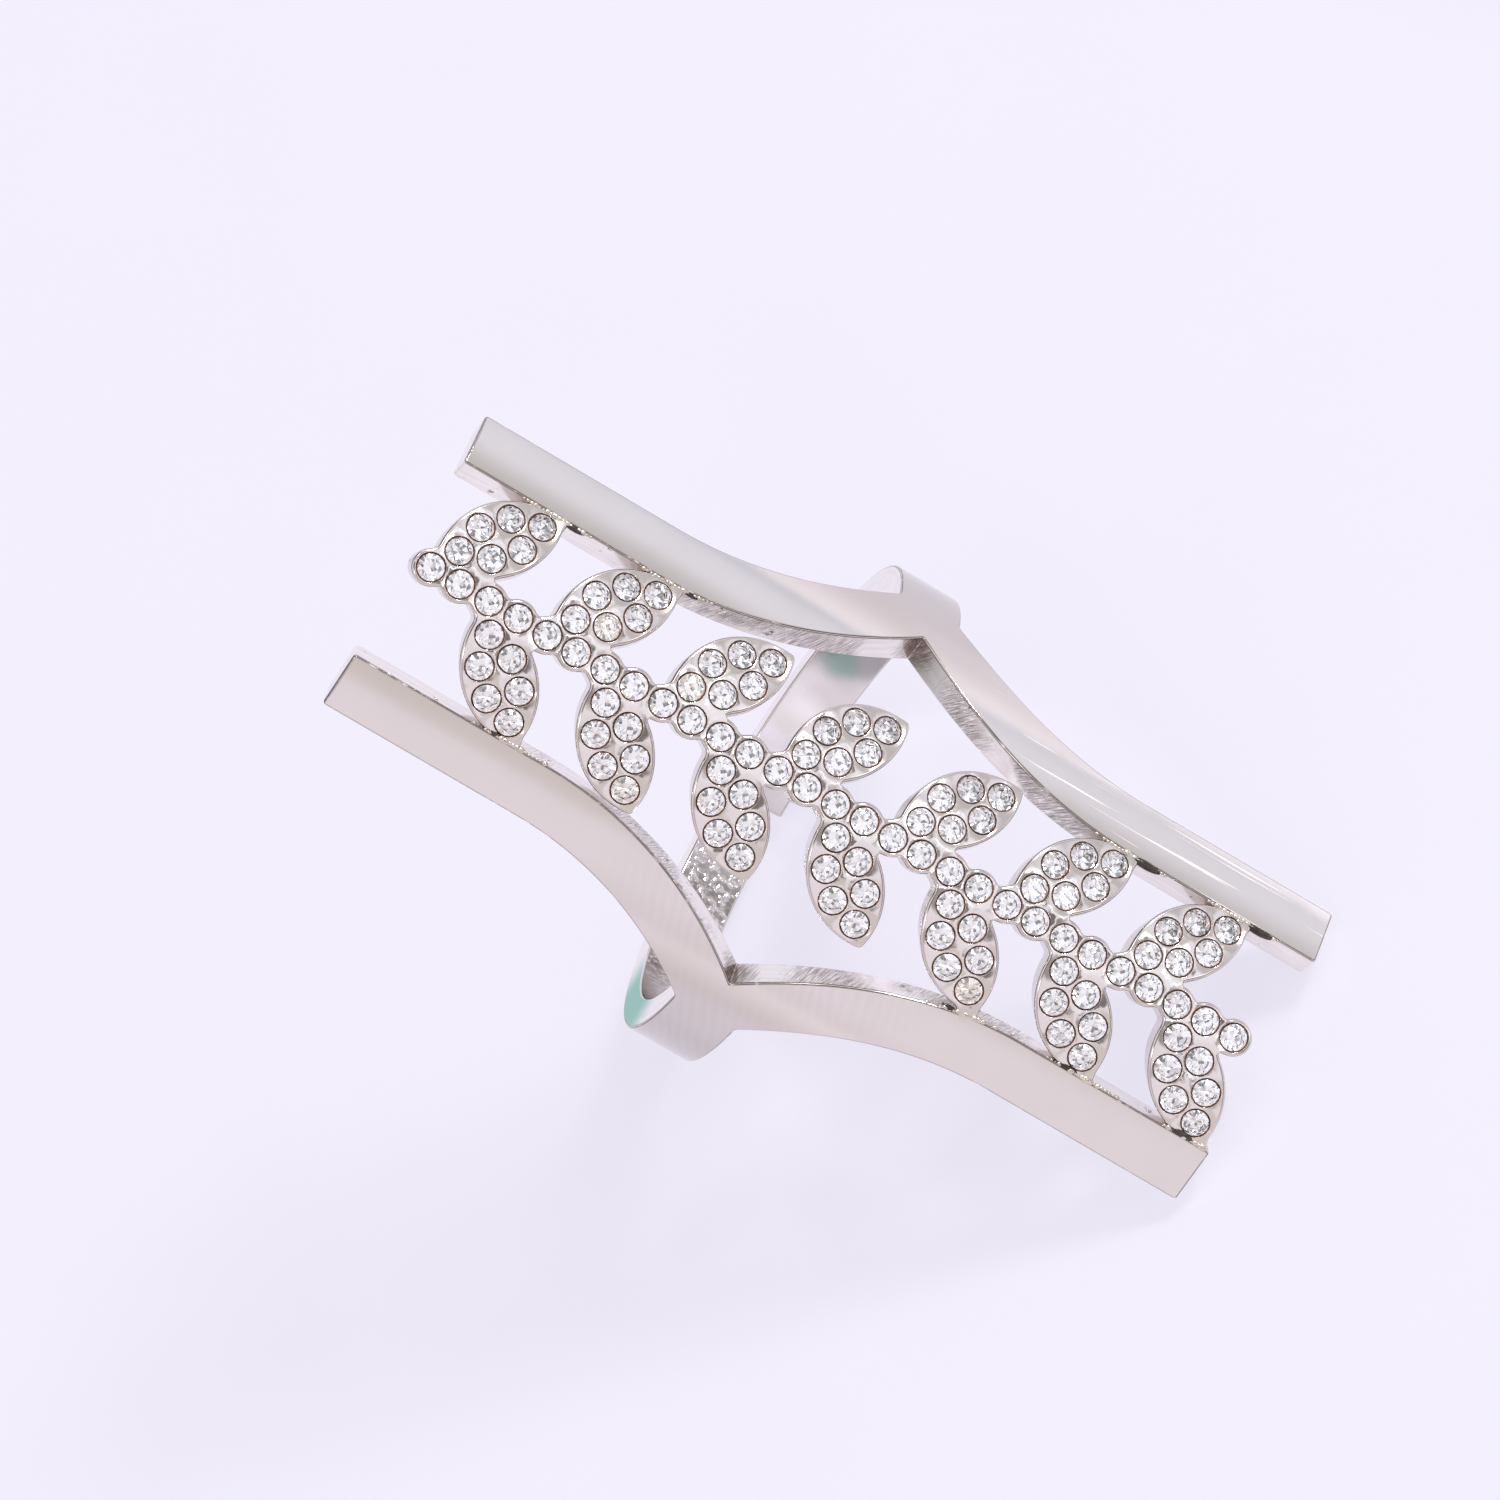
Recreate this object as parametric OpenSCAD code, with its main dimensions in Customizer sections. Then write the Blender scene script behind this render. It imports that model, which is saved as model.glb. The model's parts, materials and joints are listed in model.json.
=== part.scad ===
// Openwork finger ring, resting by itself on a flat surface.
// One strip of metal is rolled to the finger's radius. Two rails run along the finger and flare out to a
// point at mid-length, where each point becomes one arm of a shank that is open at the back.
// Between the rails runs a pierced branch of leaves, soldered to the rails near the ends, free of them in the
// middle, and set with small round stones.
//
// The ring is drawn with the finger axis along X and the top of the ring towards +Z. A point of it is given
// by its place along the finger and by its angle from the top of the ring. The part is then tipped about Y
// until the back of the shank and the rails' ends stand on the surface, which is Z = 0.

/* [Ring] */
// Inner diameter, where the finger goes
inner_d = 18.2; // [17.4:0.2:19.0]
// Thickness of the rolled metal
wall = 1.3; // [1.2:0.05:1.4]

/* [Rails] */
// Length of the rails along the finger
rail_length = 38; // [38:0.5:40]
// Width of a rail, measured round the ring
rail_width = 2.45; // [2.3:0.05:2.6]
// Angle from the top of the ring to the straight inner edge of a rail
rail_angle = 23.8; // [23.6:0.1:24.2]
// Distance from mid-length at which a rail begins to flare
flare_start = 10.5; // [10:0.1:11]
// Angle from the top of the ring to the inner point of the flare
point_angle = 47.3; // [46.5:0.1:48.5]

/* [Shank] */
// Width of the shank where it leaves the rails
shank_width = 2.7; // [2.5:0.1:2.9]
// Width of the shank at the back
shank_back_width = 2.55; // [2.4:0.05:2.7]
// Gap between the two ends at the back
back_gap = 1.4; // [1:0.1:2]
// Radius of the inside corner between shank and rail
corner_radius = 0.5; // [0.4:0.1:0.6]

/* [Branch] */
// Number of leaves on each side of the stem
leaf_count = 7; // [6:1:7]
// Angle of a leaf to the stem
leaf_lean = 47; // [46:0.5:48]
// Length of a leaf blade from point to point
leaf_length = 5.5; // [5.4:0.05:5.6]
// Width of a leaf blade
leaf_width = 2.95; // [2.8:0.05:3.0]
// Distance from the rails' ends to the first stone of the stem
stem_margin = 0.8; // [0.75:0.05:0.9]
// Metal left outside the seats at the rim of the branch
rim = 0.17; // [0.15:0.01:0.2]
// Radius of a solder spot between a leaf's point and its rail
solder_r = 0.4; // [0.3:0.05:0.5]

/* [Stones] */
// Diameter of a stone
stone_d = 1.1; // [1.0:0.05:1.1]
// Distance between the middles of two stones side by side in a leaf
stone_pitch = 1.26; // [1.25:0.01:1.28]

/* [Hidden] */
$fn = 96;

r_in = inner_d / 2;
r_out = r_in + wall;
half_length = rail_length / 2;
// Cutting bodies reach this far past the metal that they cut
past = 1;

// The edges of a rail, in millimetres measured round the outside of the ring from its top
rail_in = r_out * rail_angle * PI / 180;
point_in = r_out * point_angle * PI / 180;
// Both edges flare along arcs about one centre, outside the rail
flare_rise = point_in - rail_in;
flare_radius = (flare_rise * flare_rise + flare_start * flare_start) / (2 * flare_rise);
flare_centre = [flare_start, rail_in + flare_radius];
outer_radius = flare_radius - rail_width;
// Middle of the rounded corner between rail and shank, and where it meets the rail's outer edge
corner_u = shank_width / 2 + corner_radius;
corner_s = flare_centre[1] - sqrt(pow(outer_radius - corner_radius, 2) - pow(flare_start - corner_u, 2));
corner_reach = outer_radius / (outer_radius - corner_radius);
corner_end = flare_start + (corner_u - flare_start) * corner_reach;
corner_turn = acos((corner_u - corner_end) / corner_radius);

// The tip of the ring onto its rest: both rail ends and the back of the shank touch the surface
foot_z = r_in * cos((rail_in + rail_width) / r_out * 180 / PI);
back_z = sqrt(r_out * r_out - back_gap * back_gap / 4);
rest_tilt = atan((foot_z + back_z) / (half_length - shank_back_width / 2));
rest_lift = half_length * sin(rest_tilt) - foot_z * cos(rest_tilt);

// Stones of a leaf, by row: distance along the leaf in pitches, and number of stones across
leaf_rows = [[0, 1], [sqrt(3) / 2, 2], [1 + sqrt(3) / 2, 2], [1 + sqrt(3), 1]];
// Middle of a leaf, measured from its first stone
leaf_half = stone_pitch * leaf_rows[3][0] / 2;
// How far along the finger a leaf reaches past its foot, and what stays free between the last one and the end
leaf_reach = (leaf_half + leaf_length / 2) * cos(leaf_lean);
end_margin = 0.4;
// The branch: a straight stem with a stone every step, and leaves that spring from between two stones,
// four steps apart on each side and turn about from side to side
steps_between = 4;
stem_count = steps_between * leaf_count + 1;
last_foot = (leaf_count - 1 / 2) * steps_between + 1 / 2;
stem_step = (rail_length - stem_margin - leaf_reach - end_margin) / last_foot;
stem_start = stem_margin - half_length;
// The first stone of a leaf stands one pitch from the two stem stones beside it
leaf_root = sqrt(stone_pitch * stone_pitch - stem_step * stem_step / 4);
// Leaves whose points lie nearer to mid-length than this stay clear of the flared rails
solder_from = 8;

// A stone's seat, drilled wider than the stone, and the pad of metal round it
seat_clearance = 0.05;
seat_d = stone_d + seat_clearance;
seat_depth = 0.6;
pad_r = seat_d / 2 + rim;
// A stone: sides, width of the table as a part of its own width, and heights of its three zones
stone_sides = 10;
table_part = 0.6;
table_r = table_part * stone_d / 2;
crown_h = 0.15;
girdle_h = 0.04;
pavilion_h = 0.43;
// Height of the girdle's upper edge over the metal
girdle_rise = 0.02;
// Radius that fills the notches between neighbouring pads
fill_radius = 0.4;
// The shank starts inside the rail's metal, this far round from the inner point of the flare
shank_inset = 0.45;

// Angle from the top for a distance measured round the outside
function degrees_round(s) = s / r_out * 180 / PI;

// A point of the ring at radius r, place u along the finger and distance s round the outside
function on_ring(r, u, s) = [u, r * sin(degrees_round(s)), r * cos(degrees_round(s))];

// A point of a plane, turned by an angle about the origin
function turned(p, a) = [p[0] * cos(a) - p[1] * sin(a), p[0] * sin(a) + p[1] * cos(a)];

// Inner and outer edge of the upper rail at place u
function inner_edge(u) = abs(u) >= flare_start ? rail_in
    : flare_centre[1] - sqrt(pow(flare_radius, 2) - pow(flare_start - abs(u), 2));
function outer_edge(u) = abs(u) >= flare_start ? rail_in + rail_width
    : abs(u) >= corner_end ? flare_centre[1] - sqrt(pow(outer_radius, 2) - pow(flare_start - abs(u), 2))
    : corner_s - sqrt(max(0, pow(corner_radius, 2) - pow(corner_u - max(abs(u), shank_width / 2), 2)));

// Places along one half of a rail at which its section is given, from mid-length to the end
flare_steps = 14;
corner_steps = 5;
half_places = concat(
    [for (i = [0:corner_steps - 1]) corner_u - corner_radius * cos(corner_turn * i / corner_steps)],
    [for (i = [0:flare_steps]) corner_end + (flare_start - corner_end) * i / flare_steps],
    [half_length]);
last = len(half_places) - 1;
places = concat([for (i = [last:-1:0]) -half_places[i]], [0], half_places);

// Leaves stand on the two sides of the stem in turn: even ones towards +Y, odd ones towards -Y
function leaf_side(k) = k % 2 == 0 ? 1 : -1;
function leaf_foot(k) = [stem_start + stem_step * (1 + k * steps_between) / 2, leaf_root];
function on_leaf(k, p) = let (q = leaf_foot(k) + turned(p, leaf_lean)) [q[0], q[1] * leaf_side(k)];
leaves = [0:2 * leaf_count - 1];

stem_points = [for (i = [0:stem_count - 1]) [stem_start + i * stem_step, 0]];
leaf_points = [for (k = leaves) for (row = leaf_rows) for (i = [0:row[1] - 1])
    on_leaf(k, [row[0], i - (row[1] - 1) / 2] * stone_pitch)];
stone_points = concat(stem_points, leaf_points);

// Places the middle of the ring's box over the origin
stem_end = stem_points[stem_count - 1][0] + pad_r;
rest_shift = ((stem_end - half_length) * cos(rest_tilt) + (r_out + foot_z) * sin(rest_tilt)) / 2;

// Tips the ring, drawn with the finger axis along X, onto its rest
module at_rest() {
    translate([-rest_shift, 0, rest_lift])
        rotate([0, rest_tilt, 0])
            children();
}

// The whole rolled sheet, a tube about the finger axis
module rolled_sheet() {
    rotate([0, 90, 0])
        difference() {
            cylinder(r = r_out, h = rail_length, center = true);
            cylinder(r = r_in, h = rail_length + 2 * past, center = true);
        }
}

// Upper rail as a body with radial edges, to be cut out of the sheet
module rail_block() {
    sections = [for (u = places) let (lo = inner_edge(u), hi = outer_edge(u))
        [on_ring(r_in - past, u, lo), on_ring(r_out + past, u, lo),
         on_ring(r_out + past, u, hi), on_ring(r_in - past, u, hi)]];
    count = len(sections);
    polyhedron(
        points = [for (section = sections) each section],
        faces = concat(
            [[0, 2, 1], [0, 3, 2]],
            [for (i = [0:count - 2]) for (j = [0:3]) let (a = 4 * i + j, b = 4 * i + (j + 1) % 4)
                each [[a, b + 4, a + 4], [a, b, b + 4]]],
            [[4 * count - 4, 4 * count - 3, 4 * count - 2], [4 * count - 4, 4 * count - 2, 4 * count - 1]]));
}

// The shank as a slab across the finger axis, from inside the rails' points down to the back
module shank_block() {
    top_z = r_in * cos(degrees_round(point_in + shank_inset));
    back = r_out + past;
    rotate([90, 0, 0])
        linear_extrude(height = 2 * back, center = true)
            polygon([[-shank_width / 2, top_z], [-shank_width / 2, 0], [-shank_back_width / 2, -back],
                     [shank_back_width / 2, -back], [shank_width / 2, 0], [shank_width / 2, top_z]]);
}

// A leaf blade, pointed at both ends
module leaf_outline() {
    blade_r = (leaf_length * leaf_length + leaf_width * leaf_width) / (4 * leaf_width);
    intersection_for (side = [-1, 1])
        translate([0, side * (blade_r - leaf_width / 2)])
            circle(r = blade_r);
}

// A point of the outside as seen from above
function seen(p) = [p[0], r_out * sin(degrees_round(p[1]))];

// Outline of the branch as seen from above: pads round the stones, leaf blades, and solder at their points
module branch_outline() {
    offset(r = -fill_radius, $fn = 32)
        offset(r = fill_radius, $fn = 32) {
            for (p = stone_points)
                translate(seen(p))
                    circle(r = pad_r, $fn = 28);
            for (k = leaves)
                translate(seen(on_leaf(k, [leaf_half, 0])))
                    rotate(leaf_side(k) * leaf_lean)
                        leaf_outline();
        }
    for (k = leaves) {
        point = on_leaf(k, [leaf_half + leaf_length / 2 - solder_r, 0]);
        if (abs(point[0]) > solder_from)
            translate(seen([point[0], leaf_side(k) * inner_edge(point[0])]))
                circle(r = solder_r, $fn = 28);
    }
}

// The branch as a straight block, from below the inside of the sheet to above its outside
module branch_block() {
    floor_z = r_in * cos(degrees_round(rail_in + rail_width / 2));
    translate([0, 0, floor_z])
        linear_extrude(height = r_out)
            branch_outline();
}

// Drilled seats, square to the curved surface
module seats() {
    for (p = stone_points)
        rotate([-degrees_round(p[1]), 0, 0])
            translate([p[0], 0, r_out - seat_depth])
                cylinder(d = seat_d, h = seat_depth + past, $fn = 32);
}

module ring_body() {
    color("silver")
        at_rest()
            difference() {
                intersection() {
                    rolled_sheet();
                    union() {
                        rail_block();
                        mirror([0, 1, 0]) rail_block();
                        shank_block();
                        branch_block();
                    }
                }
                translate([-past - shank_width, -back_gap / 2, -r_out - past])
                    cube([2 * (past + shank_width), back_gap, r_out]);
                seats();
            }
}

// One facetted stone for each seat: a flat table, a sloping crown, a thin girdle and a pointed pavilion
module stones() {
    rings = [[table_r, girdle_rise + crown_h], [stone_d / 2, girdle_rise], [stone_d / 2, girdle_rise - girdle_h]];
    n = stone_sides;
    stone_size = 3 * n + 1;
    shape = concat(
        [for (ring = rings) for (i = [0:n - 1])
            [ring[0] * cos(360 * i / n), ring[0] * sin(360 * i / n), ring[1]]],
        [[0, 0, girdle_rise - girdle_h - pavilion_h]]);
    facets = concat(
        [[for (i = [n - 1:-1:0]) i]],
        [for (ring = [0, 1]) for (i = [0:n - 1]) let (a = ring * n + i, b = ring * n + (i + 1) % n)
            [a, b, b + n, a + n]],
        [for (i = [0:n - 1]) [2 * n + i, 2 * n + (i + 1) % n, 3 * n]]);
    color("aliceblue")
        at_rest()
            polyhedron(
                points = [for (p = stone_points) let (a = degrees_round(p[1])) for (q = shape)
                    [p[0] + q[0],
                     q[1] * cos(a) + (r_out + q[2]) * sin(a),
                     (r_out + q[2]) * cos(a) - q[1] * sin(a)]],
                faces = [for (s = [0:len(stone_points) - 1]) for (facet = facets)
                    [for (v = facet) s * stone_size + v]]);
}

ring_body();
stones();
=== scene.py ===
import json
import math

import bmesh
import bpy
import numpy as np
from mathutils import Matrix, Vector, noise
from mathutils.geometry import delaunay_2d_cdt


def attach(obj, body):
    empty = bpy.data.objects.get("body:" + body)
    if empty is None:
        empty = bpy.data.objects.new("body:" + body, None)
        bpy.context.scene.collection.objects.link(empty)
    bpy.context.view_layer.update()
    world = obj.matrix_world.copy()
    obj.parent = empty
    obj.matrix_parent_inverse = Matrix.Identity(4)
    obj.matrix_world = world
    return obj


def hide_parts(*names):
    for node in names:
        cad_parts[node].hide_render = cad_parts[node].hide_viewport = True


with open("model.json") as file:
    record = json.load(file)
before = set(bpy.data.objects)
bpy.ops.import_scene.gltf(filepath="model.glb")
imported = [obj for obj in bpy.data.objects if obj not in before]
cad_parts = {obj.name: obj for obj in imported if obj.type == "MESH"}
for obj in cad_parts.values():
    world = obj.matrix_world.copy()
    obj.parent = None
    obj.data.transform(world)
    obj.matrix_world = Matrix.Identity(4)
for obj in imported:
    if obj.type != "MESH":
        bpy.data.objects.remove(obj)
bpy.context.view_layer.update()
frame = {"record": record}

# The bench: a smooth, slightly glossy lavender-white board that glows like a light table, with painted
# shade, darker and warmer, towards two of its sides, under one softbox and the pale walls of a small
# studio. The camera is rolled, so that the ring lies aslant in the picture.
BOARD_HALF = 0.45
BOARD_COLOUR = (0.20, 0.196, 0.212)
BOARD_GLOW = (0.78, 0.753, 0.865)
BOARD_GLOW_STRENGTH = 0.855
BOARD_EDGE_SHADE = (0.88, 0.86, 0.81)
BOARD_GRAIN_TINT = (0.985, 0.985, 0.985)
# How far from the board's middle line its painted shade, darker and warmer, begins and is deepest
EDGE_SHADE_FROM = 0.040
EDGE_SHADE_TO = 0.062
# The studio by height, as the sine of the angle above the horizon: a blue-grey bench edge below it, pale
# walls and a pale ceiling
STUDIO = [(-1.0, (0.50, 0.54, 0.66)), (-0.06, (0.50, 0.54, 0.66)), (0.04, (0.90, 0.90, 1.0)),
          (0.45, (0.98, 0.97, 1.06)), (0.75, (1.10, 1.09, 1.16)), (1.0, (1.10, 1.09, 1.16))]
# Patches in it, such as stands, doorways and three small lamps: direction, cosines of the angles at which
# each fades out and is full, and colour
PATCHES = [((0.50, -0.80, 0.30), 0.35, 0.92, (0.93, 0.87, 0.95)),
           ((0.46, -0.60, 0.66), 0.92, 0.955, (0.74, 0.685, 0.68)),
           ((0.52, 0.72, 0.50), 0.91, 0.99, (0.60, 0.575, 0.585)),
           ((0.58, -0.11, 0.81), 0.965, 0.992, (0.20, 0.19, 0.19)),
           ((0.47, 0.30, 0.83), 0.975, 0.988, (0.24, 0.24, 0.25)),
           ((0.20, -0.20, 0.96), 0.970, 0.985, (0.28, 0.28, 0.29)),
           ((-0.55, 0.30, 0.78), 0.89, 0.96, (0.14, 0.13, 0.13)),
           ((0.97, 0.05, 0.10), 0.90, 0.97, (0.36, 0.33, 0.32)),
           ((-0.92, -0.30, 0.20), 0.80, 0.95, (0.30, 0.28, 0.28)),
           ((0.86, 0.28, 0.42), 0.994, 0.998, (4.0, 4.0, 4.2)),
           ((0.30, -0.45, 0.84), 0.994, 0.998, (6.0, 6.0, 6.3)),
           ((0.05, 0.35, 0.93), 0.994, 0.998, (6.0, 6.0, 6.3))]
SOFTBOX_PLACE = (0.20, 0.475, 0.44)
SOFTBOX_SIZE = (0.14, 0.12)
SOFTBOX_POWER = 2.7
SOFTBOX_COLOUR = (1.0, 0.985, 0.97)
SOFTBOX_AIM = (0, 0, 0.012)
CAMERA_AIM = (-0.00226, 0.00025, 0.01778)
CAMERA_DISTANCE = 0.32016
CAMERA_AZIMUTH = 79.10
CAMERA_ELEVATION = 53.75
CAMERA_ROLL = -51.82
LENS = 203.1
SENSOR = 36


def node_adder(tree, family="ShaderNode"):
    """A function that adds a node to a tree, with its settings and the links into it. A link comes from a
    socket, or from a node, whose first output is then meant."""
    def add(kind, links=(), **settings):
        made = tree.nodes.new(family + kind)
        for key, value in settings.items():
            if hasattr(made, key):
                setattr(made, key, value)
            else:
                made.inputs[key.replace("_", " ")].default_value = value
        for socket, source in dict(links).items():
            tree.links.new(getattr(source, "outputs", [source])[0], made.inputs[socket])
        return made

    return add


def new_material(name):
    """An empty node material: its tree, its shader and the function that adds its nodes."""
    material = bpy.data.materials.new(name)
    material.use_nodes = True
    tree = material.node_tree
    return material, tree, tree.nodes["Principled BSDF"], node_adder(tree)


def set_stops(ramp, stops):
    """Gives a colour ramp its stops: position and colour of each."""
    while len(ramp.color_ramp.elements) < len(stops):
        ramp.color_ramp.elements.new(0.5)
    for element, (position, colour) in zip(ramp.color_ramp.elements, stops):
        element.position = position
        element.color = colour + (1,)


def lay_board():
    corners = [(-BOARD_HALF, -BOARD_HALF, 0), (BOARD_HALF, -BOARD_HALF, 0),
               (BOARD_HALF, BOARD_HALF, 0), (-BOARD_HALF, BOARD_HALF, 0)]
    mesh = bpy.data.meshes.new("board")
    mesh.from_pydata(corners, [], [(0, 1, 2, 3)])
    board = bpy.data.objects.new("board", mesh)
    bpy.context.scene.collection.objects.link(board)
    material, tree, shader, add = new_material("smooth_board")
    place = add("TexCoord")
    grain = add("TexNoise", {"Vector": place.outputs["Object"]}, Scale=90.0, Detail=3.0)
    split = add("SeparateXYZ", {"Vector": place.outputs["Object"]})
    aside = add("Math", {0: split.outputs["Y"]}, operation="ABSOLUTE")
    # Painted shade: the board's colour and glow turn darker and warmer towards two of its sides
    edge_shade = add("MapRange", {"Value": aside}, From_Min=EDGE_SHADE_FROM, From_Max=EDGE_SHADE_TO)
    for socket, near in [("Base Color", BOARD_COLOUR), ("Emission Color", BOARD_GLOW)]:
        shaded = tuple(c * t for c, t in zip(near, BOARD_EDGE_SHADE))
        even = add("MixRGB", {"Fac": edge_shade}, Color1=near + (1,), Color2=shaded + (1,))
        tone = add("MixRGB", {"Fac": grain, "Color1": even},
                   blend_type="MULTIPLY", Color2=BOARD_GRAIN_TINT + (1,))
        tree.links.new(tone.outputs["Color"], shader.inputs[socket])
    shader.inputs["Roughness"].default_value = 0.25
    shader.inputs["Specular IOR Level"].default_value = 0.4
    shader.inputs["Emission Strength"].default_value = BOARD_GLOW_STRENGTH
    mesh.materials.append(material)


def light_studio():
    world = bpy.data.worlds.new("pale_studio")
    bpy.context.scene.world = world
    world.use_nodes = True
    tree = world.node_tree
    add = node_adder(tree)
    place = add("TexCoord")
    split = add("SeparateXYZ", {"Vector": place.outputs["Generated"]})
    height = add("MapRange", {"Value": split.outputs["Z"]}, From_Min=-1.0)
    ramp = add("ValToRGB", {"Fac": height})
    set_stops(ramp, [((level + 1) / 2, colour) for level, colour in STUDIO])
    seen = ramp.outputs["Color"]
    for way, fades_out, full, colour in PATCHES:
        near = add("VectorMath", {0: place.outputs["Generated"]}, operation="DOT_PRODUCT")
        near.inputs[1].default_value = Vector(way).normalized()
        share = add("MapRange", {"Value": near.outputs["Value"]}, interpolation_type="SMOOTHSTEP",
                    From_Min=fades_out, From_Max=full)
        patch = add("MixRGB", {"Fac": share, "Color1": seen}, Color2=colour + (1,))
        seen = patch.outputs["Color"]
    tree.links.new(seen, tree.nodes["Background"].inputs["Color"])
    soft = bpy.data.lights.new("softbox", "AREA")
    soft.shape = "RECTANGLE"
    soft.size, soft.size_y = SOFTBOX_SIZE
    soft.energy = SOFTBOX_POWER
    soft.color = SOFTBOX_COLOUR
    box = bpy.data.objects.new("softbox", soft)
    bpy.context.scene.collection.objects.link(box)
    box.location = SOFTBOX_PLACE
    box.rotation_euler = (Vector(SOFTBOX_AIM) - box.location).to_track_quat("-Z", "Y").to_euler()


def set_camera():
    a = math.radians(CAMERA_AZIMUTH)
    e = math.radians(CAMERA_ELEVATION)
    back = Vector((math.sin(a) * math.cos(e), -math.cos(a) * math.cos(e), math.sin(e)))
    level = back.to_track_quat("Z", "Y").to_matrix()
    data = bpy.data.cameras.new("camera")
    data.lens = LENS
    data.sensor_width = SENSOR
    data.clip_start = 0.01
    camera = bpy.data.objects.new("camera", data)
    bpy.context.scene.collection.objects.link(camera)
    turn = level @ Matrix.Rotation(math.radians(CAMERA_ROLL), 3, "Z")
    place = Vector(CAMERA_AIM) + CAMERA_DISTANCE * back
    camera.matrix_world = Matrix.Translation(place) @ turn.to_4x4()
    bpy.context.scene.camera = camera


lay_board()
light_studio()
set_camera()
bpy.context.scene.view_settings.view_transform = "Standard"

# The two side plates: each is one rail with half of the shank, cut from a flat strip and rolled to the
# finger's radius. Polished steel-grey metal, its cut edges left finely striated, its long edges just
# broken. Sizes are in millimetres.
HOLE = frame["record"]["mounts"][0]
RING_CENTRE = np.array(HOLE["pos_m"])
FINGER_AXIS = np.array(HOLE["axis"])
R_IN = HOLE["dims"]["r_mm"]
WALL = 1.3
R_OUT = R_IN + WALL
HALF_LENGTH = HOLE["dims"]["length_mm"] / 2
RAIL_WIDTH = 2.45
RAIL_IN = R_OUT * math.radians(23.8)
POINT_IN = R_OUT * math.radians(47.3)
FLARE_START = 10.5
FLARE_RISE = POINT_IN - RAIL_IN
FLARE_R = (FLARE_RISE * FLARE_RISE + FLARE_START * FLARE_START) / (2 * FLARE_RISE)
SHANK_HALF = 1.35
SHANK_BACK_HALF = 1.28
BACK_GAP = 1.4
INSIDE_CORNER = 0.5
PLATE_EDGE = 0.09
PLATE_CORNER = 0.13
PLATE_NOTCH = 0.04
# How many points draw each line of the outline
STRAIGHT_POINTS = 12
FLARE_IN_POINTS = 34
FLARE_OUT_POINTS = 30
CORNER_POINTS = 10
ARM_POINTS = 60
# How many strips the rounding of an edge has, on the outer face and again on the inner one
EDGE_STEPS = 4
# Points inside a face: distance between rows and from the rim, as shares of the spacing
ROW_STEP = 0.87
RIM_CLEAR = 0.55
# Points are welded on a grid with this many steps in a metre
WELD_STEPS = 1e8
# A plate's four materials; the fourth is the burr on a rail, and the glue in the branch
POLISHED, CUT, INNER, FOURTH = range(4)
# What a rail's edge shows, from the outer face to the inner one: polish with two lines of burr, the cut,
# and polish again
RAIL_EDGE = [POLISHED, FOURTH, POLISHED, FOURTH, CUT, CUT, POLISHED, POLISHED, POLISHED]


def at_rest(u, s, r):
    """Points of the rolled strip in the frame: u along the finger, s round the outside, r from the axis."""
    ring = np.array([u, r * np.sin(s / R_OUT), r * np.cos(s / R_OUT)], float).T
    return RING_CENTRE + turned_to_rest(ring) / 1000


def turned_to_rest(ring):
    """Vectors of the ring's own frame, X along the finger and Z up the top, turned as the ring rests."""
    across = np.array([0.0, 1.0, 0.0])
    top = np.cross(FINGER_AXIS, across)
    return ring[:, :1] * FINGER_AXIS + ring[:, 1:2] * across + ring[:, 2:] * top


def sheet_normals(s, outward, lift):
    """Unit normals at s: outward is the part in the strip's surface, lift the part away from the axis."""
    a = s / R_OUT
    ring = np.array([outward[:, 0],
                     outward[:, 1] * np.cos(a) + lift * np.sin(a),
                     -outward[:, 1] * np.sin(a) + lift * np.cos(a)]).T
    return turned_to_rest(ring)


def arc(centre, radius, start, end, count):
    """Points on a circle in the strip's plane, from one angle in degrees to another."""
    a = np.radians(np.linspace(start, end, count))
    return np.array([centre[0] + radius * np.cos(a), centre[1] + radius * np.sin(a)]).T


def with_round_corners(points, corner, notch, sharp=25, steps=5):
    """A closed outline with its sharp corners and notches rounded, and its direction at each point."""
    before = points - np.roll(points, 1, 0)
    after = np.roll(points, -1, 0) - points
    before /= np.linalg.norm(before, axis=1)[:, None]
    after /= np.linalg.norm(after, axis=1)[:, None]
    kept, travel = [], []
    for p, b, a in zip(points, before, after):
        turn = math.atan2(b[0] * a[1] - b[1] * a[0], b @ a)
        if abs(turn) < math.radians(sharp):
            middle = b + a
            kept.append(p)
            travel.append(middle / np.linalg.norm(middle))
            continue
        radius = corner if turn > 0 else notch
        back = radius * math.tan(abs(turn) / 2)
        side = math.copysign(1, turn)
        centre = p - b * back + radius * side * np.array([-b[1], b[0]])
        for k in range(steps + 1):
            c, d = math.cos(turn * k / steps), math.sin(turn * k / steps)
            way = np.array([b[0] * c - b[1] * d, b[0] * d + b[1] * c])
            kept.append(centre - radius * side * np.array([-way[1], way[0]]))
            travel.append(way)
    return np.array(kept), np.array(travel)


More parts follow.
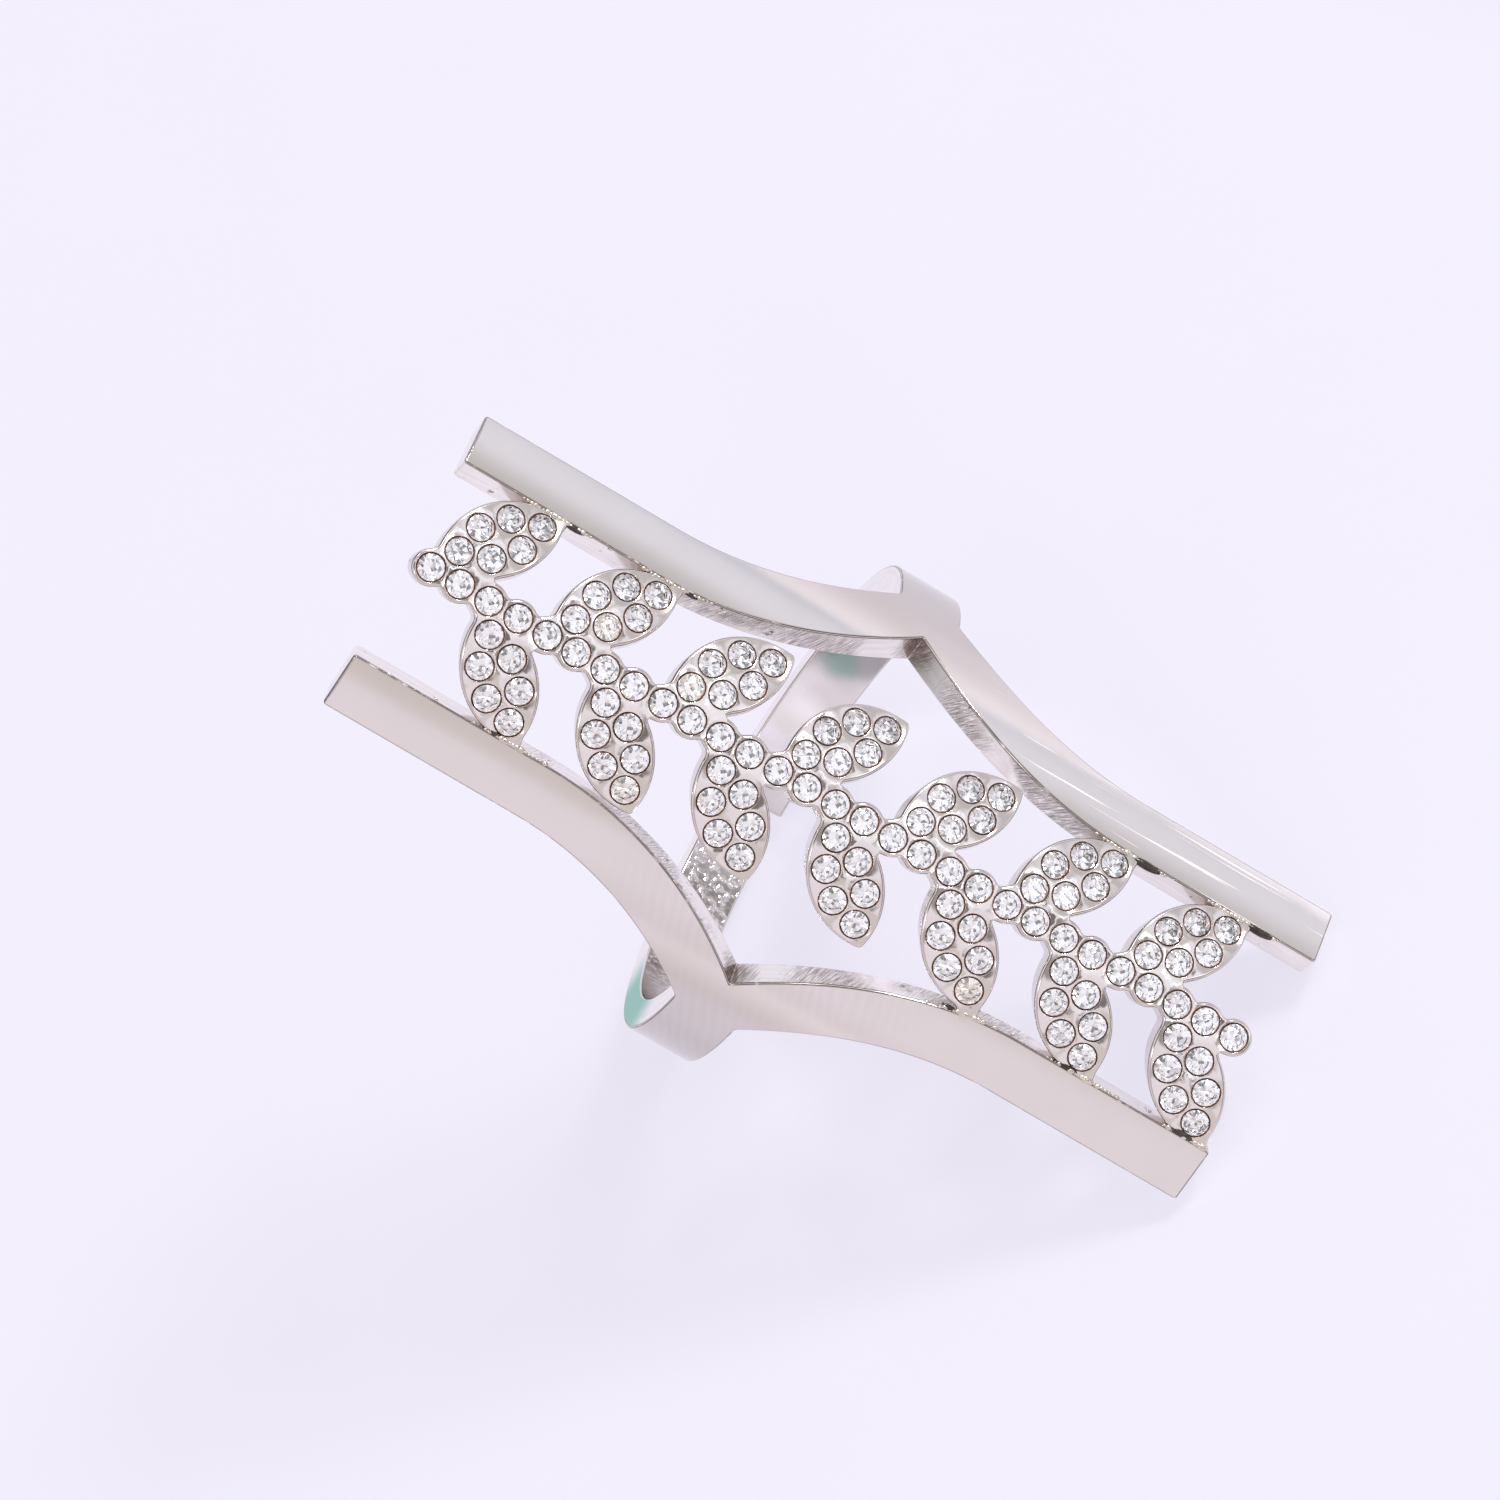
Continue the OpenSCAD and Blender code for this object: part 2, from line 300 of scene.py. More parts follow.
def plate_outline():
    """The upper plate's outline in millimetres, with the metal on the left of the direction of travel."""
    outer_r = FLARE_R - RAIL_WIDTH
    mid_s = RAIL_IN + FLARE_R
    corner_u = SHANK_HALF + INSIDE_CORNER
    corner_s = mid_s - math.sqrt((outer_r - INSIDE_CORNER) ** 2 - (FLARE_START - corner_u) ** 2)
    point_angle = math.degrees(math.asin(FLARE_START / FLARE_R))
    corner_angle = math.degrees(math.atan2(mid_s - corner_s, FLARE_START - corner_u))
    end_s = R_OUT * (math.pi - math.asin(BACK_GAP / 2 / R_OUT))
    straight = np.linspace(HALF_LENGTH, FLARE_START, STRAIGHT_POINTS)[:-1]
    flare_in = arc((FLARE_START, mid_s), FLARE_R, 270, 270 - point_angle, FLARE_IN_POINTS)
    flare_out = arc((FLARE_START, mid_s), outer_r, 270, 180 + corner_angle, FLARE_OUT_POINTS)
    corner = arc((corner_u, corner_s), INSIDE_CORNER, 180 + corner_angle, 180, CORNER_POINTS)
    arm_s = np.linspace(corner_s, end_s, ARM_POINTS)[1:]
    arm_half = SHANK_HALF - (SHANK_HALF - SHANK_BACK_HALF) * np.clip(-np.cos(arm_s / R_OUT), 0, 1)
    rail_in = np.array([straight, np.full_like(straight, RAIL_IN)]).T
    inner_side = np.vstack([rail_in, flare_in])
    arm = np.array([arm_half, arm_s]).T
    outer_side = np.vstack([rail_in + [0, RAIL_WIDTH], flare_out[:-1], corner, arm])
    flip = np.array([-1, 1])
    return np.vstack([(inner_side * flip)[:-1], inner_side[::-1], outer_side, (outer_side * flip)[::-1]])


def inside(points, loops):
    """Which points lie in the metal that closed loops bound, by counting crossings."""
    found = np.zeros(len(points), bool)
    for loop in loops:
        for a, b in zip(loop, np.roll(loop, -1, 0)):
            if a[1] == b[1]:
                continue
            over = (points[:, 1] >= min(a[1], b[1])) & (points[:, 1] < max(a[1], b[1]))
            at = a[0] + (points[:, 1] - a[1]) * (b[0] - a[0]) / (b[1] - a[1])
            found ^= over & (points[:, 0] < at)
    return found


def filled(loops, spacing):
    """Points and triangles that fill the metal between closed loops."""
    clear = spacing * RIM_CLEAR
    rims = np.vstack(loops)
    low, high = rims.min(0), rims.max(0)
    grid = np.array([(u + (row % 2) * spacing / 2, s)
                     for row, s in enumerate(np.arange(low[1], high[1], spacing * ROW_STEP))
                     for u in np.arange(low[0], high[0], spacing)])
    grid = grid[inside(grid, loops)]
    grid = grid[[np.min(np.sum((rims - g) ** 2, 1)) > clear * clear for g in grid]]
    points = np.vstack([rims, grid])
    edges, first = [], 0
    for loop in loops:
        count = len(loop)
        edges += [(first + i, first + (i + 1) % count) for i in range(count)]
        first += count
    epsilon = 1e-6
    made = delaunay_2d_cdt([Vector(p) for p in points], edges, [], 0, epsilon)
    corners = np.array([points[source[0]] if source else tuple(v) for v, source in zip(made[0], made[3])])
    faces = np.array(made[2])
    return corners, faces[inside(corners[faces].mean(1), loops)]


def rolled_plate(name, loops, r_low, r_high, edge, materials, edge_kinds,
                 pits=(), pit=None, spacing=0.45, swell=None):
    """A plate of the rolled strip with rounded edges: its loops hold points and directions of travel.
    Edge kinds are the materials of the strips round the edge, from the outer face to the inner one.
    Pits are the middles of drilled holes, pit their shape, and swell the rise of the outer face."""
    verts, normals, faces, kinds, coords = [], [], [], [], []

    def add_points(uv, r, outward, lift, chart):
        first = sum(map(len, verts))
        verts.append(at_rest(uv[:, 0], uv[:, 1], r))
        normals.append(sheet_normals(uv[:, 1], outward, lift))
        coords.append(chart)
        return first

    quarter = [math.pi / 2 * k / EDGE_STEPS for k in range(EDGE_STEPS + 1)]
    profile = [(edge * (1 - math.sin(q)), r_high - edge * (1 - math.cos(q)), math.sin(q), math.cos(q))
               for q in quarter]
    profile += [(edge * (1 - math.sin(q)), r_low + edge * (1 - math.cos(q)), math.sin(q), -math.cos(q))
                for q in reversed(quarter)]
    rims = []
    for points, travel in loops:
        outward = np.array([travel[:, 1], -travel[:, 0]]).T
        along = np.concatenate([[0], np.cumsum(np.linalg.norm(np.diff(points, axis=0), axis=1))])
        rims.append(points - outward * edge)
        rise = swell(rims[-1]) if swell else np.zeros(len(points))
        rows = []
        for k, (inset, r, share, lift) in enumerate(profile):
            r = r + rise * max(0, 1 - k / EDGE_STEPS)
            chart = np.array([along, r]).T
            rows.append(add_points(points - outward * inset, r, outward * share, lift, chart))
        count = len(points)
        for kind, top, low in zip(edge_kinds, rows[:-1], rows[1:]):
            for i in range(count):
                j = (i + 1) % count
                faces.append((top + i, low + i, low + j, top + j))
                kinds.append(kind)
    mouths = [arc(p, pit["mouth"], 0, 360, pit["sides"] + 1)[:-1][::-1] for p in pits]
    points, triangles = filled(rims + mouths, spacing)
    rise, slope = np.zeros(len(points)), np.zeros_like(points)
    if swell:
        reach = 0.01
        rise = swell(points)
        slope = np.array([swell(points + [reach, 0]) - swell(points - [reach, 0]),
                          swell(points + [0, reach]) - swell(points - [0, reach])]).T / (2 * reach)
    first = add_points(points, r_high + rise, -slope, 1.0, points)
    for t in triangles:
        faces.append(tuple(first + t))
        kinds.append(POLISHED)
    points, triangles = filled(rims, spacing)
    first = add_points(points, r_low, np.zeros_like(points), -1.0, points)
    for t in triangles:
        faces.append(tuple(first + t[::-1]))
        kinds.append(INNER)
    for p in pits:
        rows = []
        for radius, r, share, lift in pit["profile"]:
            ring = arc(p, radius, 0, 360, pit["sides"] + 1)[:-1]
            outward = (p - ring) / radius
            rows.append(add_points(ring, r, outward * share, lift, ring))
        for k, (top, low) in enumerate(zip(rows[:-2], rows[1:-1])):
            for i in range(pit["sides"]):
                j = (i + 1) % pit["sides"]
                faces.append((top + i, top + j, low + j, low + i))
                kinds.append(pit["kinds"][k])
        faces.append(tuple(rows[-1] + i for i in range(pit["sides"])))
        kinds.append(FOURTH)
    return joined_mesh(name, verts, normals, faces, kinds, coords, materials)


def joined_mesh(name, verts, normals, faces, kinds, coords, materials):
    """A mesh object from lists of point blocks, with its own normals and a chart in millimetres."""
    corner = np.array([i for face in faces for i in face])
    places = np.vstack(verts)
    grid = np.round(places * WELD_STEPS)
    _, first, shared = np.unique(grid, axis=0, return_index=True, return_inverse=True)
    shared = shared.ravel()
    mesh = bpy.data.meshes.new(name)
    mesh.from_pydata(places[first].tolist(), [], [[int(shared[i]) for i in face] for face in faces])
    mesh.polygons.foreach_set("use_smooth", [True] * len(mesh.polygons))
    mesh.polygons.foreach_set("material_index", kinds)
    chart = mesh.uv_layers.new(name="sheet")
    chart.data.foreach_set("uv", np.vstack(coords)[corner].ravel())
    for material in materials:
        mesh.materials.append(material)
    unit = np.vstack(normals)
    unit /= np.linalg.norm(unit, axis=1)[:, None]
    mesh.normals_split_custom_set(unit[corner].tolist())
    made = bpy.data.objects.new(name, mesh)
    bpy.context.scene.collection.objects.link(made)
    return made


def polished_metal(name, light=0.80, dark=0.75, rippled=0.0, scratched=0.0, waves=(0.4, 0.1, 0.00008)):
    """Mirror polish over rolled metal, its colour darkened on the shank as painted shade: hairlines along
    the strip and a slow waviness, on one plate ripples near the point from the rollers, on the other a few
    long scratches."""
    material, tree, shader, add = new_material(name)
    chart = add("UVMap", uv_map="sheet")
    slow = add("TexNoise", {"Vector": chart}, Scale=0.35, Detail=2.0)
    tone = add("MixRGB", {"Fac": slow}, Color1=(dark, dark * 0.945, dark * 0.89, 1),
               Color2=(light, light * 0.95, light * 0.93, 1))
    along = add("Mapping", {"Vector": chart}, Scale=(0.5, 22.0, 1.0), Rotation=(0, 0, 0.35))
    hair = add("TexNoise", {"Vector": along}, Scale=1.5, Detail=4.0)
    long_way = add("Mapping", {"Vector": chart}, Scale=(0.11, 5.0, 1.0), Rotation=(0, 0, -0.03))
    drag = add("TexNoise", {"Vector": long_way}, Scale=1.0, Detail=2.0)
    place = add("SeparateXYZ", {"Vector": chart})
    used = add("MapRange", {"Value": place.outputs["X"]}, From_Min=2.0, From_Max=5.0, To_Max=scratched)
    scratch = add("MapRange", {"Value": drag, "To Max": used}, From_Min=0.62, From_Max=0.67)
    sheen = add("MapRange", {"Value": hair}, To_Min=0.07, To_Max=0.17)
    worn = add("Math", {0: sheen, 1: scratch}, operation="ADD")
    tree.links.new(worn.outputs["Value"], shader.inputs["Roughness"])
    aside = add("Math", {0: place.outputs["X"]}, operation="ABSOLUTE")
    near = add("MapRange", {"Value": aside}, From_Min=7.5, From_Max=1.0, To_Max=rippled)
    skew = add("Mapping", {"Vector": chart}, Rotation=(0, 0, -0.35))
    bands = add("TexWave", {"Vector": skew}, Scale=0.75, Distortion=7.0, Detail=2.0,
                Detail_Scale=0.35, bands_direction="X")
    ripple = add("Math", {0: bands.outputs["Fac"], 1: near}, operation="MULTIPLY")
    # Painted shade: the colour is darkened on the shank, where the metal mirrors the shaded board
    height = add("Math", {0: place.outputs["Y"]}, operation="ABSOLUTE")
    shank = add("MapRange", {"Value": height}, From_Min=6.6, From_Max=9.6)
    shank_shade = add("MixRGB", {"Fac": shank, "Color1": tone},
                 blend_type="MULTIPLY", Color2=(0.79, 0.765, 0.745, 1))
    rippled_tone = add("MixRGB", {"Fac": ripple, "Color1": shank_shade}, Color2=(0.66, 0.61, 0.63, 1))
    bright = add("MixRGB", {"Fac": scratch, "Color1": rippled_tone}, Color2=(0.97, 0.96, 0.97, 1))
    tree.links.new(bright.outputs["Color"], shader.inputs["Base Color"])
    shader.inputs["Metallic"].default_value = 1.0
    size, strength, depth = waves
    wave = add("TexNoise", {"Vector": chart}, Scale=size, Detail=1.0)
    low = add("Bump", {"Height": wave}, Strength=strength, Distance=depth)
    fine = add("Bump", {"Height": hair, "Normal": low}, Strength=0.06, Distance=0.00002)
    tree.links.new(fine.outputs["Normal"], shader.inputs["Normal"])
    return material


# The share of a spot's reach within which it is at its full strength
SPOT_CORE = 0.35


def spot_share(add, place, spot, reach, most):
    """How much of a tint lies round one spot of the strip, given by its u, its angle and its radius."""
    u, angle, r = spot
    gap = add("VectorMath", {0: place.outputs["Object"]}, operation="DISTANCE")
    gap.inputs[1].default_value = at_rest(np.array([u]), np.array([math.radians(angle) * R_OUT]), r)[0]
    share = add("MapRange", {"Value": gap.outputs["Value"]}, interpolation_type="SMOOTHSTEP",
                From_Min=reach, From_Max=reach * SPOT_CORE, To_Max=most)
    return share.outputs["Result"]


def cut_metal():
    """A laser-cut edge: pale and drawn along by the tumbler, striated in stretches, with a few dark gouges,
    burnt in the points' corners, and with a painted teal reflection on the shank, in its colour and
    specular tint."""
    material, tree, shader, add = new_material("cut_metal")
    chart = add("UVMap", uv_map="sheet")
    slant = add("Mapping", {"Vector": chart}, Rotation=(0, 0, 0.45))
    across = add("Mapping", {"Vector": slant}, Scale=(19.0, 1.2, 1.0))
    lines = add("TexNoise", {"Vector": across}, Scale=1.1, Detail=3.0, Roughness=0.6)
    sharp = add("MapRange", {"Value": lines}, From_Min=0.36, From_Max=0.60)
    patch = add("TexNoise", {"Vector": chart}, Scale=0.30, Detail=1.0)
    stretch = add("MapRange", {"Value": patch}, From_Min=0.38, From_Max=0.52)
    draw = add("Mapping", {"Vector": chart}, Scale=(0.5, 4.5, 1.0))
    drawn = add("TexNoise", {"Vector": draw}, Scale=1.0, Detail=3.0)
    place = add("TexCoord")
    from_middle = add("VectorMath", {0: place.outputs["Object"]}, operation="DOT_PRODUCT")
    from_middle.inputs[1].default_value = FINGER_AXIS * 1000
    along = add("Math", {0: from_middle.outputs["Value"]}, operation="SUBTRACT")
    along.inputs[1].default_value = FINGER_AXIS @ RING_CENTRE * 1000
    aside = add("Math", {0: along}, operation="ABSOLUTE")
    on_rail = add("MapRange", {"Value": aside}, From_Min=1.3, From_Max=2.2)
    off_shank = add("Math", {0: stretch, 1: on_rail}, operation="MULTIPLY")
    near_point = add("MapRange", {"Value": aside}, From_Min=12.5, From_Max=9.5)
    where = add("Math", {0: off_shank, 1: near_point}, operation="MULTIPLY")
    striated = add("MixRGB", {"Fac": sharp}, Color1=(0.38, 0.34, 0.31, 1), Color2=(0.97, 0.92, 0.89, 1))
    smooth = add("MixRGB", {"Fac": drawn}, Color1=(0.74, 0.69, 0.67, 1), Color2=(1.0, 0.95, 0.91, 1))
    pale = add("MixRGB", {"Fac": where, "Color1": smooth, "Color2": striated})
    rough_cut = add("TexNoise", {"Vector": chart}, Scale=1.5, Detail=5.0, Roughness=0.65)
    gouged = add("MapRange", {"Value": rough_cut}, From_Min=0.63, From_Max=0.68)
    gouge = add("Math", {0: gouged, 1: on_rail}, operation="MULTIPLY")
    marked = add("MixRGB", {"Fac": gouge, "Color1": pale}, Color2=(0.22, 0.18, 0.15, 1))
    spots = at_rest(np.zeros(2), np.array([POINT_IN, -POINT_IN]), R_OUT - 0.5)
    gaps = [add("VectorMath", {0: place.outputs["Object"]}, operation="DISTANCE") for _ in spots]
    for gap, spot in zip(gaps, spots):
        gap.inputs[1].default_value = spot
    nearer = add("Math", {0: gaps[0].outputs["Value"], 1: gaps[1].outputs["Value"]}, operation="MINIMUM")
    corner = add("MapRange", {"Value": nearer}, From_Min=0.0018, From_Max=0.0005)
    burnt = add("Math", {0: corner, 1: lines}, operation="MULTIPLY")
    scorch = add("MapRange", {"Value": burnt}, From_Min=0.26, From_Max=0.55)
    tone = add("MixRGB", {"Fac": scorch, "Color1": marked}, Color2=(0.30, 0.25, 0.22, 1))
    # Painted reflection: a teal tinge in the colour and the specular tint of the shank's cut wall
    teal_reflection = spot_share(add, place, (-SHANK_HALF, -105, R_OUT - 0.6), reach=0.0048, most=0.75)
    teal_reflected = add("MixRGB", {"Fac": teal_reflection, "Color1": tone}, Color2=(0.26, 0.50, 0.42, 1))
    tree.links.new(teal_reflected.outputs["Color"], shader.inputs["Base Color"])
    teal_reflection_tint = add("MixRGB", {"Fac": teal_reflection}, Color1=(1.0, 1.0, 1.0, 1), Color2=(0.42, 0.74, 0.62, 1))
    tree.links.new(teal_reflection_tint.outputs["Color"], shader.inputs["Specular Tint"])
    shader.inputs["Metallic"].default_value = 1.0
    rough = add("MapRange", {"Value": where}, To_Min=0.15, To_Max=0.24)
    tree.links.new(rough.outputs["Result"], shader.inputs["Roughness"])
    rise = add("Math", {0: sharp, 1: where}, operation="MULTIPLY")
    ridges = add("Bump", {"Height": rise}, Strength=0.8, Distance=0.000025)
    dent = add("Bump", {"Height": gouge, "Normal": ridges}, invert=True, Strength=0.6, Distance=0.00008)
    tree.links.new(dent.outputs["Normal"], shader.inputs["Normal"])
    return material


def inside_metal():
    """The inside of the ring: bright from the tumbler, clouded brown here and there, with small dents in
    one arm and, in the other, a painted reflection: a dark spot with a teal tinge."""
    material, tree, shader, add = new_material("inside_metal")
    chart = add("UVMap", uv_map="sheet")
    cloud = add("TexNoise", {"Vector": chart}, Scale=0.30, Detail=1.0)
    clouded = add("MapRange", {"Value": cloud}, From_Min=0.44, From_Max=0.66)
    tone = add("MixRGB", {"Fac": clouded}, Color1=(0.95, 0.93, 0.94, 1), Color2=(0.76, 0.72, 0.71, 1))
    place = add("TexCoord")
    # Painted reflection: a dark spot and a teal tinge inside the upper arm
    dark_reflection = spot_share(add, place, (0.2, 126, R_IN), reach=0.0024, most=0.85)
    dark_reflected = add("MixRGB", {"Fac": dark_reflection, "Color1": tone}, Color2=(0.28, 0.26, 0.25, 1))
    teal_reflection = spot_share(add, place, (-0.2, 131, R_IN), reach=0.0012, most=0.5)
    teal_reflected = add("MixRGB", {"Fac": teal_reflection, "Color1": dark_reflected}, Color2=(0.12, 0.29, 0.22, 1))
    worn = spot_share(add, place, (0.0, -142, R_IN), reach=0.0060, most=0.75)
    speckle = add("TexNoise", {"Vector": chart}, Scale=3.2, Detail=1.5, Roughness=0.5)
    mottle = add("MapRange", {"Value": speckle}, From_Min=0.36, From_Max=0.60)
    mottled = add("MixRGB", {"Fac": mottle}, Color1=(0.19, 0.165, 0.15, 1),
                  Color2=(0.58, 0.53, 0.505, 1))
    mixed = add("MixRGB", {"Fac": worn, "Color1": teal_reflected, "Color2": mottled})
    tree.links.new(mixed.outputs["Color"], shader.inputs["Base Color"])
    dents = add("MapRange", {"Value": speckle}, From_Min=0.50, From_Max=0.74)
    split = add("SeparateXYZ", {"Vector": chart})
    lower = add("MapRange", {"Value": split.outputs["Y"]}, From_Min=-20.0, From_Max=-27.0)
    rise = add("Math", {0: dents, 1: lower}, operation="MULTIPLY")
    shader.inputs["Metallic"].default_value = 1.0
    shader.inputs["Roughness"].default_value = 0.15
    bump = add("Bump", {"Height": rise}, Strength=0.4, Distance=0.00006)
    tree.links.new(bump.outputs["Normal"], shader.inputs["Normal"])
    return material


def burr_metal():
    """The thin burr where the cut meets the polished face: brown, with bright nicks."""
    material, tree, shader, add = new_material("burr_metal")
    chart = add("UVMap", uv_map="sheet")
    nicks = add("TexNoise", {"Vector": chart}, Scale=1.6, Detail=4.0, Roughness=0.7)
    where = add("MapRange", {"Value": nicks}, From_Min=0.56, From_Max=0.68)
    tone = add("MixRGB", {"Fac": where}, Color1=(0.12, 0.095, 0.08, 1), Color2=(0.93, 0.90, 0.88, 1))
    tree.links.new(tone.outputs["Color"], shader.inputs["Base Color"])
    shader.inputs["Metallic"].default_value = 1.0
    shader.inputs["Roughness"].default_value = 0.24
    return material


cut, inner_face, burr = cut_metal(), inside_metal(), burr_metal()
polish = {"upper_plate": polished_metal("upper_polish", scratched=0.35),
          "lower_plate": polished_metal("lower_polish", rippled=0.28)}
upper_points, upper_travel = with_round_corners(plate_outline(), PLATE_CORNER, PLATE_NOTCH)
flip_side = np.array([1, -1])
plates = {"upper_plate": (upper_points, upper_travel),
          "lower_plate": ((upper_points * flip_side)[::-1], (upper_travel * -flip_side)[::-1])}
for plate_name, plate_loop in plates.items():
    plate = rolled_plate(plate_name, [plate_loop], R_IN, R_OUT, PLATE_EDGE,
                         [polish[plate_name], cut, inner_face, burr], RAIL_EDGE)
    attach(plate, "root")
    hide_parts("ring_body")

# The openwork branch: a straight stem with fourteen leaves, pierced from the same sheet, its rim well
# rounded in the tumbler. Each stone has a drilled pit, with a ring of brown glue left round the stone.
LEAVES_A_SIDE = 7
LEAF_LEAN = math.radians(47)
LEAF_LENGTH = 5.5
LEAF_WIDTH = 2.95
STONE_PITCH = 1.26
STEPS_BETWEEN = 4
STEM_MARGIN = 0.8
END_MARGIN = 0.4
PIT_R = 0.585
PIT_LIP = 0.015
PIT_DEPTH = 0.56
PIT_SIDES = 24
# The ring of glue: how wide it is, and how deep its upper rim and the ledge inside it lie
GLUE_WIDTH = 0.055
GLUE_RIM = 0.04
GLUE_LEDGE = 0.055
PAD_R = 0.745
# The spots that join a leaf's point to the rail, and how far from the middle of the branch they begin
SOLDER_R = 0.4
SOLDER_FROM = 8
BRANCH_DROP = 0.06
BRANCH_EDGE = 0.13
FILLET = 0.28
LEAF_TIP_R = 0.17
# How high the metal swells between the stones, how soon beside one, and its slow unevenness
SWELL_RISE = 0.045
SWELL_REACH = 0.13
WAVE_RISE = 0.05
WAVE_LENGTH = 1.5
BRANCH_SPACING = 0.15
# How far the outline is looked for: past the rails' ends, and to each side
LOOK_PAST = 0.4
LOOK_ASIDE = 5.2
# Stones of a leaf by row: distance along the leaf in pitches, and number across
LEAF_ROWS = [(0, 1), (math.sqrt(3) / 2, 2), (1 + math.sqrt(3) / 2, 2), (1 + math.sqrt(3), 1)]

leaf_half = STONE_PITCH * LEAF_ROWS[-1][0] / 2
leaf_reach = (leaf_half + LEAF_LENGTH / 2) * math.cos(LEAF_LEAN)
stem_room = 2 * HALF_LENGTH - STEM_MARGIN - leaf_reach - END_MARGIN
stem_step = stem_room / ((LEAVES_A_SIDE - 0.5) * STEPS_BETWEEN + 0.5)
stem_start = STEM_MARGIN - HALF_LENGTH
leaf_root = math.sqrt(STONE_PITCH ** 2 - stem_step ** 2 / 4)


def leaf_side(k):
    return 1 if k % 2 == 0 else -1


def on_leaf(k, along, across):
    """A place on leaf k in the strip's plane, measured from its first stone along and across the leaf."""
    c, d = math.cos(LEAF_LEAN), math.sin(LEAF_LEAN)
    foot = stem_start + stem_step * (1 + k * STEPS_BETWEEN) / 2
    return np.array([foot + along * c - across * d, leaf_side(k) * (leaf_root + along * d + across * c)])


def stone_places():
    places = [np.array([stem_start + i * stem_step, 0.0]) for i in range(STEPS_BETWEEN * LEAVES_A_SIDE + 1)]
    for k in range(2 * LEAVES_A_SIDE):
        for along, count in LEAF_ROWS:
            places += [on_leaf(k, along * STONE_PITCH, (i - (count - 1) / 2) * STONE_PITCH)
                       for i in range(count)]
    return places


def inner_edge(u):
    """Inner edge of the upper rail at place u."""
    inward = max(FLARE_START - abs(u), 0)
    return RAIL_IN + FLARE_R - math.sqrt(FLARE_R * FLARE_R - inward * inward)


def blended(a, b):
    """The nearer of two distances, with the notch between the two shapes filled by a fillet."""
    h = np.maximum(FILLET - np.abs(a - b), 0) / FILLET
    return np.minimum(a, b) - h * h * FILLET / 4


def leaf_distance(p, k):
    """Distance to the outline of leaf k: two circles that cross, with its tips a little rounded."""
    middle = on_leaf(k, leaf_half, 0)
    c, d = math.cos(LEAF_LEAN), leaf_side(k) * math.sin(LEAF_LEAN)
    x = np.abs((p[..., 0] - middle[0]) * c + (p[..., 1] - middle[1]) * d)
    y = np.abs((p[..., 1] - middle[1]) * c - (p[..., 0] - middle[0]) * d)
    blade_r = (LEAF_LENGTH ** 2 + LEAF_WIDTH ** 2) / (4 * LEAF_WIDTH) - LEAF_TIP_R
    offset = blade_r - LEAF_WIDTH / 2 + LEAF_TIP_R
    tip = math.sqrt(blade_r ** 2 - offset ** 2)
    to_tip = np.hypot(x - tip, y)
    to_side = np.hypot(x, y + offset) - blade_r
    return np.where((x - tip) * offset > y * tip, to_tip, to_side) - LEAF_TIP_R


def branch_distance(p):
    """Distance to the branch's outline: pads round the stem's stones, leaves, and spots of solder."""
    nearest = np.full(p.shape[:-1], np.inf)
    for i in range(STEPS_BETWEEN * LEAVES_A_SIDE + 1):
        nearest = blended(nearest, np.hypot(p[..., 0] - stem_start - i * stem_step, p[..., 1]) - PAD_R)
    for k in range(2 * LEAVES_A_SIDE):
        nearest = blended(nearest, leaf_distance(p, k))
        point = on_leaf(k, leaf_half + LEAF_LENGTH / 2 - SOLDER_R, 0)
        if abs(point[0]) > SOLDER_FROM:
            spot = np.array([point[0], leaf_side(k) * inner_edge(point[0])])
            nearest = blended(nearest, np.hypot(p[..., 0] - spot[0], p[..., 1] - spot[1]) - SOLDER_R)
    return nearest


def contours(distance, low, high, cell=0.07, spacing=0.12, fewest=13):
    """Closed loops along which a distance is zero, evenly spaced, with the metal on the left."""
    us = np.arange(low[0], high[0], cell)
    ss = np.arange(low[1], high[1], cell)
    grid = np.stack(np.meshgrid(us, ss, indexing="ij"), -1)
    value = distance(grid)
    metal = value < 0
    step = {}
    sides = [((0, 0), (1, 0)), ((1, 0), (1, 1)), ((1, 1), (0, 1)), ((0, 1), (0, 0))]
    mixed = metal[:-1, :-1].astype(int) + metal[1:, :-1] + metal[1:, 1:] + metal[:-1, 1:]
    for i, j in np.argwhere((mixed > 0) & (mixed < 4)):
        ins, outs = [], []
        for a, b in sides:
            p, q = (i + a[0], j + a[1]), (i + b[0], j + b[1])
            if metal[p] != metal[q]:
                (outs if metal[p] else ins).append((min(p, q), max(p, q)))
        for a, b in zip(outs, ins):
            step[a] = b
    loops = []
    while step:
        start, at = next(iter(step.items()))
        chain = [start]
        del step[start]
        while at != start:
            chain.append(at)
            at = step.pop(at)
        points = np.array([[(us[p[0]] + us[q[0]]) / 2, (ss[p[1]] + ss[q[1]]) / 2] for p, q in chain])
        loops.append(points)
    return [evened(loop, distance, spacing) for loop in loops if len(loop) >= fewest]


def onto_edge(points, distance, reach=0.004, rounds=4):
    """Points moved onto the line where the distance is zero, and the way out of the metal there."""
    for _ in range(rounds):
        slope = np.array([distance(points + [reach, 0]) - distance(points - [reach, 0]),
                          distance(points + [0, reach]) - distance(points - [0, reach])]).T / (2 * reach)
        slope /= np.linalg.norm(slope, axis=1)[:, None]
        points = points - slope * distance(points)[:, None]
    return points, slope


def evened(points, distance, spacing):
    points, _ = onto_edge(points, distance)
    closed = np.vstack([points, points[:1]])
    run = np.concatenate([[0], np.cumsum(np.linalg.norm(np.diff(closed, axis=0), axis=1))])
    at = np.linspace(0, run[-1], int(run[-1] / spacing) + 1)[:-1]
    even = np.array([np.interp(at, run, closed[:, 0]), np.interp(at, run, closed[:, 1])]).T
    even, slope = onto_edge(even, distance)
    return even, np.array([-slope[:, 1], slope[:, 0]]).T


